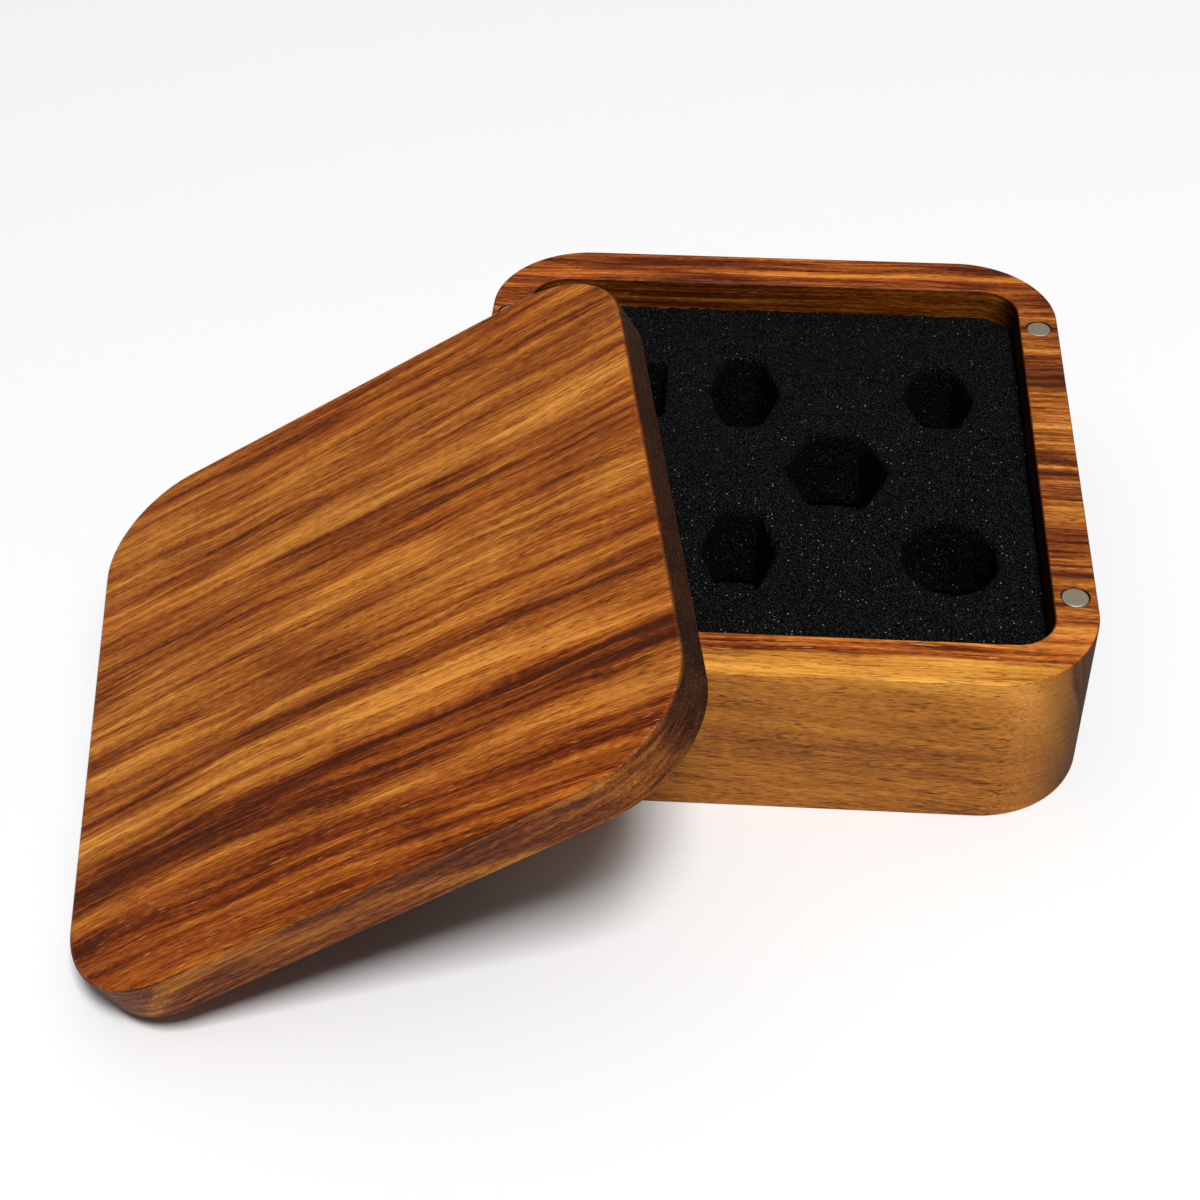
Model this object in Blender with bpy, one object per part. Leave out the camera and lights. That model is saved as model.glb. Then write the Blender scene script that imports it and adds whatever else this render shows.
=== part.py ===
"""Dice case: a solid wood base with a die-cut foam insert, and a lift-off lid that magnets hold shut.

The base stands on the floor, with the middle of its underside at the origin and its top up +Z.
The lid is off: its left lower edge is on the floor and its underside leans on the base's front left
corner. Both blocks have one outline, so the eight magnets meet in pairs when the lid is put on.
"""

import math
from typing import NamedTuple

import bmesh
import bpy
import numpy as np
from bmesh.types import BMesh
from bpy.types import Collection, Material, Object
from mathutils import Matrix, Vector

# Outline of the case, which the base and the lid share
CASE_WIDTH = 0.118
CASE_DEPTH = 0.130
CORNER_RADIUS = 0.020
EDGE_EASING = 0.0004

# Base block
BASE_HEIGHT = 0.0335
SIDE_WALL = 0.0079
END_WALL = 0.0104
BASE_FLOOR = 0.0050
CAVITY_CORNER_RADIUS = 0.0076
CAVITY_FLOOR_FILLET = 0.0012

# Lid block
LID_THICKNESS = 0.0090
LID_TOP_EASING = 0.0008
LID_RECESS_DEPTH = 0.0036

# Foam
FOAM_SET_DOWN = 0.0060
FOAM_PAD_THICKNESS = 0.0030
LINER_SET_BACK = 0.0003
POCKET_CORNER_RADIUS = 0.0010
POCKET_LEFT_MARGIN = 0.0102
POCKET_RIGHT_MARGIN = 0.0064
POCKET_ROW_SPACING = 0.0495

# Magnets
MAGNET_DIAMETER = 0.0050
MAGNET_LENGTH = 0.0050
MAGNET_CHAMFER = 0.00035
MAGNET_SET_BACK = 0.00015
MAGNET_END_INSET = 0.0235

# How the lid leans
LID_TILT = math.radians(28.5)
LID_YAW = math.radians(9.7)
LID_SHIFT = -0.0413

# Clearances and facets
GAP = 0.0003
OVERCUT = 0.0010
CORNER_SEGMENTS = 14
CAVITY_CORNER_SEGMENTS = 8
EASING_SEGMENTS = 2
TOP_EASING_SEGMENTS = 3
POCKET_SEGMENTS = 3
ROUND_SIDES = 40


class Pocket(NamedTuple):
    """One die's pocket: an even-sided prism stretched to its width (X) and length (Y)."""

    die: str
    sides: int
    turn: float
    width: float
    length: float
    column: int
    row: int


# Pocket columns, as shares of the way from the first one to the last
COLUMN_STATIONS = (0.0, 0.386, 0.676, 1.0)
POCKETS = (
    Pocket("d6", 4, math.radians(45), 0.0175, 0.0180, 0, 1),
    Pocket("d4", 3, math.radians(90), 0.0180, 0.0190, 0, -1),
    Pocket("d8", 6, math.radians(30), 0.0145, 0.0225, 1, 1),
    Pocket("d10", 6, math.radians(30), 0.0145, 0.0220, 1, -1),
    Pocket("d20", 6, math.radians(30), 0.0205, 0.0225, 2, 0),
    Pocket("percentile", 6, math.radians(30), 0.0145, 0.0195, 3, 1),
    Pocket("d12", 10, 0.0, 0.0175, 0.0215, 3, -1),
)


def clear_scene() -> None:
    """Remove every object, so that only the case is left."""
    for obj in list(bpy.data.objects):
        bpy.data.objects.remove(obj, do_unlink=True)


def new_collection(name: str) -> Collection:
    """Make a collection in the scene."""
    collection = bpy.data.collections.new(name)
    bpy.context.scene.collection.children.link(collection)
    return collection


def new_material(name: str, colour: tuple, roughness: float, metallic: float = 0.0) -> Material:
    """Make a Principled material from a linear colour, a roughness and a metallic value."""
    material = bpy.data.materials.new(name)
    material.use_nodes = True
    shader = material.node_tree.nodes["Principled BSDF"]
    shader.inputs["Base Color"].default_value = (*colour, 1.0)
    shader.inputs["Roughness"].default_value = roughness
    shader.inputs["Metallic"].default_value = metallic
    material.diffuse_color = (*colour, 1.0)
    return material


def finish(mesh_builder: BMesh, name: str, collection: Collection) -> Object:
    """Turn the mesh being built into a named object with smooth round parts and sharp corners."""
    mesh = bpy.data.meshes.new(name)
    mesh_builder.to_mesh(mesh)
    mesh_builder.free()
    mesh.shade_smooth()
    mesh.set_sharp_from_angle(angle=math.radians(35))
    obj = bpy.data.objects.new(name, mesh)
    collection.objects.link(obj)
    return obj


def rim_edges(mesh_builder: BMesh, height: float) -> list:
    """Find the edges that run round a block at a given height."""
    return [
        edge
        for edge in mesh_builder.edges
        if all(math.isclose(vertex.co.z, height, abs_tol=1e-6) for vertex in edge.verts)
    ]


def upright_edges(mesh_builder: BMesh, height: float) -> list:
    """Find the edges that climb more than half the height of a block."""
    return [
        edge
        for edge in mesh_builder.edges
        if abs(edge.verts[0].co.z - edge.verts[1].co.z) > height / 2
    ]


def round_block(
    name: str,
    collection: Collection,
    size: tuple,
    bottom: float,
    corner_radius: float,
    corner_segments: int,
    top_edge: tuple = (0.0, 1),
    bottom_edge: tuple = (0.0, 1),
) -> Object:
    """Make a box with rounded upright corners.

    size is its width, depth and height, and bottom is the height of its underside. top_edge and
    bottom_edge are each a radius and a number of segments for the rim there.
    """
    width, depth, height = size
    builder = bmesh.new()
    bmesh.ops.create_cube(builder, size=1.0)
    bmesh.ops.scale(builder, verts=builder.verts, vec=(width, depth, height))
    bmesh.ops.translate(builder, verts=builder.verts, vec=(0.0, 0.0, bottom + height / 2))
    bmesh.ops.bevel(
        builder,
        geom=upright_edges(builder, height),
        offset=corner_radius,
        segments=corner_segments,
        profile=0.5,
        affect="EDGES",
    )
    for level, (radius, segments) in ((bottom + height, top_edge), (bottom, bottom_edge)):
        if radius > 0.0:
            bmesh.ops.bevel(
                builder,
                geom=rim_edges(builder, level),
                offset=radius,
                segments=segments,
                profile=0.5,
                affect="EDGES",
            )
    return finish(builder, name, collection)


def round_bar(
    name: str,
    collection: Collection,
    diameter: float,
    length: float,
    bottom: float,
    chamfer: float = 0.0,
) -> Object:
    """Make an upright cylinder whose underside is at the given height, with both ends chamfered."""
    builder = bmesh.new()
    radius = diameter / 2
    bmesh.ops.create_cone(
        builder, cap_ends=True, segments=ROUND_SIDES, radius1=radius, radius2=radius, depth=length
    )
    bmesh.ops.translate(builder, verts=builder.verts, vec=(0.0, 0.0, bottom + length / 2))
    if chamfer > 0.0:
        rims = rim_edges(builder, bottom) + rim_edges(builder, bottom + length)
        bmesh.ops.bevel(builder, geom=rims, offset=chamfer, segments=1, affect="EDGES")
    return finish(builder, name, collection)


def prism(name: str, collection: Collection, pocket: Pocket, bottom: float, top: float) -> Object:
    """Make the upright prism that cuts one die's pocket, with eased upright corners."""
    height = top - bottom
    builder = bmesh.new()
    bmesh.ops.create_cone(
        builder, cap_ends=True, segments=pocket.sides, radius1=1.0, radius2=1.0, depth=height
    )
    bmesh.ops.rotate(builder, verts=builder.verts, matrix=Matrix.Rotation(pocket.turn, 3, "Z"))
    corners = np.array([vertex.co for vertex in builder.verts])
    lowest, highest = corners.min(axis=0), corners.max(axis=0)
    middle = (lowest + highest) / 2
    stretch = np.array((pocket.width, pocket.length, height)) / (highest - lowest)
    bmesh.ops.translate(builder, verts=builder.verts, vec=-middle)
    bmesh.ops.scale(builder, verts=builder.verts, vec=stretch)
    bmesh.ops.translate(builder, verts=builder.verts, vec=(0.0, 0.0, (top + bottom) / 2))
    bmesh.ops.bevel(
        builder,
        geom=upright_edges(builder, height),
        offset=POCKET_CORNER_RADIUS,
        segments=POCKET_SEGMENTS,
        profile=0.5,
        affect="EDGES",
    )
    return finish(builder, name, collection)


def cut(target: Object, cutter: Object) -> None:
    """Take the cutter's shape out of the target."""
    modifier = target.modifiers.new(f"cut_{cutter.name}", "BOOLEAN")
    modifier.operation = "DIFFERENCE"
    modifier.solver = "EXACT"
    modifier.object = cutter
    cutter.hide_render = True
    cutter.display_type = "WIRE"


def magnet_places() -> list:
    """Give the middle of each magnet on the rim: left pair, then right pair."""
    across = CASE_WIDTH / 2 - SIDE_WALL / 2
    along = CASE_DEPTH / 2 - MAGNET_END_INSET
    return [(side * across, end * along) for side in (-1, 1) for end in (-1, 1)]


def cavity_size(clearance: float) -> tuple:
    """Width and depth of what stands in the cavity with this clearance all round."""
    return CASE_WIDTH - 2 * (SIDE_WALL + clearance), CASE_DEPTH - 2 * (END_WALL + clearance)


def drill_for_magnets(block: Object, cutters: Collection, face: float, inward: int) -> None:
    """Drill the four blind magnet holes into the block's face; inward is the way into the wood."""
    hole_depth = MAGNET_SET_BACK + MAGNET_LENGTH + GAP
    bottom = face - hole_depth if inward < 0 else face - OVERCUT
    for index, (x, y) in enumerate(magnet_places(), start=1):
        hole = round_bar(
            f"{block.name}_magnet_hole_{index}",
            cutters,
            MAGNET_DIAMETER + 2 * GAP,
            hole_depth + OVERCUT,
            bottom,
        )
        hole.location = (x, y, 0.0)
        hole.parent = block.parent
        cut(block, hole)


def add_magnets(prefix: str, case: Collection, bottom: float, material: Material) -> list:
    """Stand the four magnets of one block in their holes."""
    magnets = []
    for index, (x, y) in enumerate(magnet_places(), start=1):
        magnet = round_bar(
            f"{prefix}_magnet_{index}", case, MAGNET_DIAMETER, MAGNET_LENGTH, bottom, MAGNET_CHAMFER
        )
        magnet.location = (x, y, 0.0)
        magnet.data.materials.append(material)
        magnets.append(magnet)
    return magnets


def build_base(case: Collection, cutters: Collection, wood: Material) -> None:
    """Make the base block: a rounded block milled out from above, with four magnet holes in its rim."""
    base = round_block(
        "base_body",
        case,
        (CASE_WIDTH, CASE_DEPTH, BASE_HEIGHT),
        0.0,
        CORNER_RADIUS,
        CORNER_SEGMENTS,
        (EDGE_EASING, EASING_SEGMENTS),
        (EDGE_EASING, EASING_SEGMENTS),
    )
    base.data.materials.append(wood)
    cavity = round_block(
        "base_cavity",
        cutters,
        (*cavity_size(0.0), BASE_HEIGHT - BASE_FLOOR + OVERCUT),
        BASE_FLOOR,
        CAVITY_CORNER_RADIUS,
        CAVITY_CORNER_SEGMENTS,
        bottom_edge=(CAVITY_FLOOR_FILLET, EASING_SEGMENTS),
    )
    cut(base, cavity)
    drill_for_magnets(base, cutters, BASE_HEIGHT, -1)


def pocket_place(pocket: Pocket, insert_width: float) -> tuple:
    """Work out the middle of a pocket on the insert."""
    widest = max(other.width for other in POCKETS)
    first = -insert_width / 2 + POCKET_LEFT_MARGIN + widest / 2
    last = insert_width / 2 - POCKET_RIGHT_MARGIN - widest / 2
    x = first + COLUMN_STATIONS[pocket.column] * (last - first)
    return x, pocket.row * POCKET_ROW_SPACING / 2


def build_base_foam(case: Collection, cutters: Collection, foam: Material) -> None:
    """Make the pad on the cavity's floor and the die-cut insert over it."""
    width, depth = cavity_size(GAP)
    corner_radius = CAVITY_CORNER_RADIUS - GAP
    pad_bottom = BASE_FLOOR + GAP
    pad = round_block(
        "foam_floor_pad",
        case,
        (width, depth, FOAM_PAD_THICKNESS),
        pad_bottom,
        corner_radius,
        CAVITY_CORNER_SEGMENTS,
        bottom_edge=(CAVITY_FLOOR_FILLET, EASING_SEGMENTS),
    )
    pad.data.materials.append(foam)
    insert_bottom = pad_bottom + FOAM_PAD_THICKNESS + GAP
    insert_top = BASE_HEIGHT - FOAM_SET_DOWN
    insert = round_block(
        "foam_insert",
        case,
        (width, depth, insert_top - insert_bottom),
        insert_bottom,
        corner_radius,
        CAVITY_CORNER_SEGMENTS,
    )
    insert.data.materials.append(foam)
    cut_bottom, cut_top = insert_bottom - OVERCUT, insert_top + OVERCUT
    for pocket in POCKETS:
        cutter = prism(f"pocket_{pocket.die}", cutters, pocket, cut_bottom, cut_top)
        cutter.location = (*pocket_place(pocket, width), 0.0)
        cut(insert, cutter)


def lid_placement() -> Matrix:
    """Work out where the lid leans.

    In the lid's own frame its underside is the plane z = 0 and its left edge is at -X. That edge
    lies on the floor, and the underside clears the base's eased rim by the gap, at the rim's point
    that reaches furthest under the tilted plane. LID_SHIFT slides the lid along its floor edge.
    """
    sine, cosine = math.sin(LID_TILT), math.cos(LID_TILT)
    inset_radius = CORNER_RADIUS - EDGE_EASING
    rim_reach = (
        (CASE_WIDTH / 2 - CORNER_RADIUS) * math.cos(LID_YAW)
        + (CASE_DEPTH / 2 - CORNER_RADIUS) * math.sin(LID_YAW)
        + inset_radius
    )
    edge_height = -EDGE_EASING * (sine + cosine - 1.0)
    rise = cosine * (BASE_HEIGHT - EDGE_EASING - edge_height) + EDGE_EASING + GAP
    edge_reach = -(rim_reach + rise / sine)
    toward_base = Vector((math.cos(LID_YAW), math.sin(LID_YAW), 0.0))
    along_edge = Vector((-math.sin(LID_YAW), math.cos(LID_YAW), 0.0))
    edge = toward_base * edge_reach + along_edge * LID_SHIFT + Vector((0.0, 0.0, edge_height))
    turn = Matrix.Rotation(LID_YAW, 4, "Z") @ Matrix.Rotation(-LID_TILT, 4, "Y")
    return Matrix.Translation(edge) @ turn @ Matrix.Translation((CASE_WIDTH / 2, 0.0, 0.0))


def build_lid(
    case: Collection,
    cutters: Collection,
    wood: Material,
    foam: Material,
    nickel: Material,
) -> None:
    """Make the lid, its liner and its magnets under one empty, and lean them on the base."""
    lean = bpy.data.objects.new("lid_lean", None)
    case.objects.link(lean)
    lean.matrix_world = lid_placement()
    lid = round_block(
        "lid_body",
        case,
        (CASE_WIDTH, CASE_DEPTH, LID_THICKNESS),
        0.0,
        CORNER_RADIUS,
        CORNER_SEGMENTS,
        (LID_TOP_EASING, TOP_EASING_SEGMENTS),
        (EDGE_EASING, EASING_SEGMENTS),
    )
    lid.parent = lean
    lid.data.materials.append(wood)
    recess = round_block(
        "lid_recess",
        cutters,
        (*cavity_size(0.0), LID_RECESS_DEPTH + OVERCUT),
        -OVERCUT,
        CAVITY_CORNER_RADIUS,
        CAVITY_CORNER_SEGMENTS,
    )
    recess.parent = lean
    cut(lid, recess)
    drill_for_magnets(lid, cutters, 0.0, 1)
    liner = round_block(
        "lid_foam_liner",
        case,
        (*cavity_size(GAP), LID_RECESS_DEPTH - GAP - LINER_SET_BACK),
        LINER_SET_BACK,
        CAVITY_CORNER_RADIUS - GAP,
        CAVITY_CORNER_SEGMENTS,
    )
    liner.parent = lean
    liner.data.materials.append(foam)
    for magnet in add_magnets("lid", case, MAGNET_SET_BACK, nickel):
        magnet.parent = lean


def build_case() -> None:
    """Make every piece of the dice case."""
    clear_scene()
    case = new_collection("dice_case")
    cutters = new_collection("cutters")
    wood = new_material("oiled_striped_wood", (0.34, 0.13, 0.035), 0.42)
    foam = new_material("black_foam", (0.010, 0.010, 0.011), 0.95)
    nickel = new_material("nickel_plate", (0.62, 0.58, 0.54), 0.30, 1.0)
    build_base(case, cutters, wood)
    build_base_foam(case, cutters, foam)
    add_magnets("base", case, BASE_HEIGHT - MAGNET_SET_BACK - MAGNET_LENGTH, nickel)
    build_lid(case, cutters, wood, foam, nickel)
    bpy.context.view_layer.update()


if __name__ == "__main__":
    build_case()
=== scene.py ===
"""Looks of the dice case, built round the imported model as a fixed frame.

The case is a milled wood base with a lift-off lid, black foam with a pocket for each die, and
nickel magnets let into the rims. Lengths are in metres unless a name ends in _mm.
"""

import logging
import math
from contextlib import contextmanager
from dataclasses import dataclass, replace
from enum import Enum
from typing import Callable, Iterator, Optional, Sequence, Union

import bmesh
import bpy
from mathutils import Euler, Matrix, Vector


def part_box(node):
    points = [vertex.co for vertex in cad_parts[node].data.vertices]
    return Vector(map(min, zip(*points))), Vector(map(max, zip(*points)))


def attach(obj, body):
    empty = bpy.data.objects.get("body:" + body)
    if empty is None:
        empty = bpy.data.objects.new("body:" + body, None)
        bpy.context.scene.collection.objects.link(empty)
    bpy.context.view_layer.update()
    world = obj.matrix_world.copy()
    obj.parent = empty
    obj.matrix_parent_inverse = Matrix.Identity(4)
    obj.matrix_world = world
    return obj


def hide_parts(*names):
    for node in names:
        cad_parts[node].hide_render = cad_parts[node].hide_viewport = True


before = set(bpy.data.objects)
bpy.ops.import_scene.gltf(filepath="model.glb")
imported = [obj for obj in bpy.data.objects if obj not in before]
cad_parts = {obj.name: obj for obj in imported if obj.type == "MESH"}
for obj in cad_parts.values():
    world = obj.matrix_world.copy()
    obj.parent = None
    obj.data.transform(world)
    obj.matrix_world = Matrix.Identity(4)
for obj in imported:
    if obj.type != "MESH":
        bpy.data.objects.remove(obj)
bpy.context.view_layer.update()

log = logging.getLogger("dice_case")

MM = 0.001

# How near a vertex has to be to a level to count as on it, and which vertices count as one.
TOUCH = 0.01 * MM
SAME_PLACE = 0.001 * MM

Colour = tuple[float, float, float]
Test = Callable[..., bool]


class Slot(Enum):
    """The record's material slots."""

    WOOD = "oiled_wood"
    FOAM = "foam"
    NICKEL = "nickel"


class Body(Enum):
    """The bodies that the pieces ride on."""

    BASE = "base"
    LID = "lid"


class Opening(Enum):
    """Which way a block's hollow opens along its own Z."""

    UP = 1.0
    DOWN = -1.0


class Element(Enum):
    """What is selected in edit mode, by its name in bmesh."""

    EDGE = "edges"
    FACE = "faces"


class Wire:
    """A shader output that takes part in Python expressions on numbers."""

    def __init__(self, shader: "Shader", socket: bpy.types.NodeSocket) -> None:
        """Wrap a socket.

        Args:
            shader: The material being wired.
            socket: The output that is wrapped.
        """
        self.shader = shader
        self.socket = socket

    def __add__(self, other: "Value") -> "Wire":
        """Add."""
        return self.shader.math("ADD", self, other)

    def __radd__(self, other: "Value") -> "Wire":
        """Add, the number first."""
        return self.shader.math("ADD", other, self)

    def __sub__(self, other: "Value") -> "Wire":
        """Subtract."""
        return self.shader.math("SUBTRACT", self, other)

    def __rsub__(self, other: "Value") -> "Wire":
        """Subtract this from a number."""
        return self.shader.math("SUBTRACT", other, self)

    def __mul__(self, other: "Value") -> "Wire":
        """Multiply."""
        return self.shader.math("MULTIPLY", self, other)

    def __rmul__(self, other: "Value") -> "Wire":
        """Multiply, the number first."""
        return self.shader.math("MULTIPLY", other, self)

    def __truediv__(self, other: "Value") -> "Wire":
        """Divide."""
        return self.shader.math("DIVIDE", self, other)

    def __pow__(self, other: "Value") -> "Wire":
        """Raise to a power."""
        return self.shader.math("POWER", self, other)

    def __neg__(self) -> "Wire":
        """Turn the sign round."""
        return self.shader.math("MULTIPLY", self, -1.0)

    def __abs__(self) -> "Wire":
        """Drop the sign."""
        return self.shader.math("ABSOLUTE", self)


Value = Union[float, Wire]


@dataclass(frozen=True)
class Span:
    """Two values between which a mask rises from 0 to 1."""

    low: float
    high: float


class Shader:
    """One material's node tree, and the few ways in which nodes are added to it."""

    def __init__(self, name: str) -> None:
        """Start a material with a Principled shader.

        Args:
            name: The material's name.
        """
        self.material = bpy.data.materials.new(name)
        self.material.use_nodes = True
        self.tree = self.material.node_tree
        self.surface = self.tree.nodes["Principled BSDF"]

    def node(
        self,
        kind: str,
        settings: Optional[dict] = None,
        inputs: Optional[dict] = None,
        output: Union[int, str] = 0,
    ) -> Wire:
        """Add a node.

        Args:
            kind: The node's type.
            settings: Its properties, or "stops" for the places and colours of a ramp.
            inputs: The value or the link of each socket that is set.
            output: Which output is wanted.

        Returns:
            The wanted output.
        """
        made = self.tree.nodes.new(kind)
        for name, value in (settings or {}).items():
            if name == "stops":
                self.set_stops(made.color_ramp, value)
            else:
                setattr(made, name, value)
        for name, value in (inputs or {}).items():
            if isinstance(value, Wire):
                self.tree.links.new(value.socket, made.inputs[name])
            else:
                made.inputs[name].default_value = value
        return Wire(self, made.outputs[output])

    @staticmethod
    def set_stops(ramp: bpy.types.ColorRamp, stops: Sequence[tuple[float, Colour]]) -> None:
        """Give a ramp its stops.

        Args:
            ramp: The ramp, which starts with two stops.
            stops: Pairs of a place from 0 to 1 and a linear colour.
        """
        while len(ramp.elements) < len(stops):
            ramp.elements.new(0.5)
        for element, (place, colour) in zip(ramp.elements, stops):
            element.position = place
            element.color = (*colour, 1.0)

    def math(self, operation: str, first: Value, second: Value = 0.0) -> Wire:
        """Add a Math node on two numbers."""
        return self.node("ShaderNodeMath", {"operation": operation}, {0: first, 1: second})

    def point(self, x: Value, y: Value, z: Value) -> Wire:
        """Join three numbers to a vector."""
        return self.node("ShaderNodeCombineXYZ", inputs={"X": x, "Y": y, "Z": z})

    def noise(self, place: Wire, scale: float, detail: float = 2.0, roughness: float = 0.5) -> Wire:
        """Read fractal noise, from 0 to 1 with 0.5 as its middle.

        Args:
            place: Where it is read.
            scale: How many marks there are in a unit of length.
            detail: How many finer layers it has.
            roughness: How strong those are.

        Returns:
            The noise.
        """
        inputs = {"Vector": place, "Scale": scale, "Detail": detail, "Roughness": roughness}
        return self.node("ShaderNodeTexNoise", {"noise_dimensions": "3D"}, inputs)

    def cells(self, place: Wire, scale: float, output: str) -> Wire:
        """Read Voronoi cells: the "Distance" from a cell's middle, or the cell's own "Color"."""
        inputs = {"Vector": place, "Scale": scale}
        return self.node("ShaderNodeTexVoronoi", {"feature": "F1"}, inputs, output)

    def step(self, value: Value, span: Span) -> Wire:
        """Rise smoothly from 0 at the low end of a span to 1 at its high end."""
        settings = {"interpolation_type": "SMOOTHSTEP", "clamp": True}
        inputs = {"Value": value, "From Min": span.low, "From Max": span.high}
        return self.node("ShaderNodeMapRange", settings, inputs)

    def ramp(self, stops: Sequence[tuple[float, Colour]], value: Value) -> Wire:
        """Look a value up in a ramp of colours."""
        return self.node("ShaderNodeValToRGB", {"stops": stops}, {"Fac": value})

    def mix(self, share: Value, first: Wire, second: Union[Wire, Colour], blend: str = "MIX") -> Wire:
        """Mix two colours.

        Args:
            share: How much of the second colour is taken.
            first: The first colour.
            second: The second colour, or its linear values.
            blend: The way they are mixed.

        Returns:
            The mixed colour.
        """
        settings = {"data_type": "RGBA", "blend_type": blend}
        colour = second if isinstance(second, Wire) else (*second, 1.0)
        return self.node("ShaderNodeMix", settings, {0: share, 6: first, 7: colour}, output=2)

    def bump(self, height: Wire, strength: float, distance: float) -> Wire:
        """Turn a height into a normal."""
        inputs = {"Height": height, "Strength": strength, "Distance": distance}
        return self.node("ShaderNodeBump", inputs=inputs)

    def finish(self, **sockets: Union[Value, tuple]) -> bpy.types.Material:
        """Set the Principled shader's sockets.

        Args:
            sockets: Their values or links, by name with _ for each space.

        Returns:
            The finished material.
        """
        for name, value in sockets.items():
            socket = self.surface.inputs[name.replace("_", " ")]
            if isinstance(value, Wire):
                self.tree.links.new(value.socket, socket)
            else:
                socket.default_value = value
        return self.material


def srgb(red: int, green: int, blue: int) -> Colour:
    """Turn a colour as a screen shows it into linear values."""
    shares = (level / 255 for level in (red, green, blue))
    return tuple(s / 12.92 if s <= 0.04045 else ((s + 0.055) / 1.055) ** 2.4 for s in shares)


def between(first: float, second: float, share: Wire) -> Wire:
    """Go from the first number to the second as the share goes from 0 to 1."""
    return first + (second - first) * share


@dataclass(frozen=True)
class Figure:
    """A pattern in the wood, made of fractal noise.

    Attributes:
        long_mm: The length of its marks along the grain.
        wide_mm: Their width across the grain.
        high_mm: Their height.
        detail: How many finer layers the noise has.
        roughness: How strong those are.
        strength: What the noise is multiplied by.
        cut: Where in the noise the marks start, and where they are full.
    """

    long_mm: float
    wide_mm: float
    high_mm: float
    detail: float = 2.0
    roughness: float = 0.5
    strength: float = 1.0
    cut: Span = Span(0.0, 1.0)


# How the rings bend, in millimetres: in long waves and in short ripples.
WANDER = Figure(78.0, 26.0, 30.0, strength=7.0)
RIPPLE = Figure(17.0, 7.0, 9.0)

# What makes the wood lighter and darker inside its stripes.
STREAKS = Figure(50.0, 2.3, 7.0, detail=5.0, roughness=0.69, strength=1.85)
LINES = Figure(15.0, 0.42, 2.2, detail=3.0, roughness=0.70, strength=0.75)
LAYERS = Figure(60.0, 5.0, 0.9, detail=4.0, roughness=0.70)
PATCHES = Figure(30.0, 8.0, 12.0)
FINE_GRAIN = Figure(1.8, 0.25, 0.25, detail=1.0, strength=0.62)

# What changes its colour, and how far the edge of the sapwood strays, in millimetres.
RED_PATCHES = Figure(55.0, 11.0, 20.0, strength=0.45, cut=Span(0.46, 0.70))
SAP_EDGE = Figure(34.0, 3.0, 12.0, strength=3.0)

# The smallest marks: open pores, fibres, and pale specks and dashes.
SHORT_PORES = Figure(2.6, 0.24, 0.24, detail=1.0, cut=Span(0.58, 0.72))
LONG_PORES = Figure(5.0, 0.50, 0.50, detail=1.0, cut=Span(0.63, 0.71))
FIBRES = Figure(4.0, 0.16, 0.20)
SPECKS = Figure(0.9, 0.24, 0.24, detail=1.0, strength=0.30, cut=Span(0.66, 0.74))
DASHES = Figure(4.5, 0.30, 0.30, detail=1.0, strength=0.75, cut=Span(0.69, 0.75))

# Colours, dark to light where they follow a tone.
HEARTWOOD = (
    (0.02, srgb(66, 26, 6)),
    (0.20, srgb(98, 42, 11)),
    (0.38, srgb(136, 68, 20)),
    (0.54, srgb(162, 92, 31)),
    (0.72, srgb(190, 118, 44)),
    (0.96, srgb(222, 150, 66)),
)
SAPWOOD = (
    (0.05, srgb(120, 64, 18)),
    (0.42, srgb(190, 120, 40)),
    (0.95, srgb(238, 168, 70)),
)
FOAM_BLACK = ((0.42, srgb(1, 1, 1)), (0.54, srgb(7, 7, 7)), (0.70, srgb(56, 57, 58)))
NICKEL_TINT = ((0.3, srgb(169, 156, 137)), (0.7, srgb(178, 167, 150)))
PORE_BROWN = srgb(52, 20, 6)
FLECK = srgb(226, 162, 98)
# The pale colour of the foam's painted glints, which stand in for highlights.
PAINTED_GLINT = srgb(170, 172, 176)

# What a colour is multiplied by where the wood is red and on a wall, and on the end grain. There the
# strong darkening is partly the end grain's own darker colour and partly painted shade of end faces
# turned from the light.
RED_TINT = (1.0, 0.78, 0.62)
WALL_TINT = (0.92, 1.0, 0.87)
END_GRAIN_AND_SHADE_TINT = (0.10, 0.083, 0.072)


@dataclass(frozen=True)
class GrainPoint:
    """A point of the wood, in millimetres along the grain, across it and up from the underside."""

    shader: Shader
    along: Wire
    across: Wire
    up: Wire

    def noise(self, figure: Figure) -> Wire:
        """Read a figure's noise here, from 0 to 1.

        Args:
            figure: The figure.

        Returns:
            The noise, before the figure's strength.
        """
        long, wide, high = figure.long_mm, figure.wide_mm, figure.high_mm
        place = self.shader.point(self.along / long, self.across / wide, self.up / high)
        return self.shader.noise(place, 1.0, figure.detail, figure.roughness)

    def swing(self, figure: Figure) -> Wire:
        """Read a figure as a swing to either side of 0."""
        return (self.noise(figure) - 0.5) * figure.strength

    def marks(self, figure: Figure) -> Wire:
        """Read a figure as separate marks on nothing."""
        return self.shader.step(self.noise(figure), figure.cut) * figure.strength


@dataclass(frozen=True)
class Surface:
    """How a surface lies in its block.

    Attributes:
        end: How squarely it cuts the grain, from 0 to 1.
        side: How far it lies along the grain, where the streaks are strong, from streaks_on_ends to 1.
        wall: How upright it is, from 0 to 1.
    """

    end: Wire
    side: Wire
    wall: Wire


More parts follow.
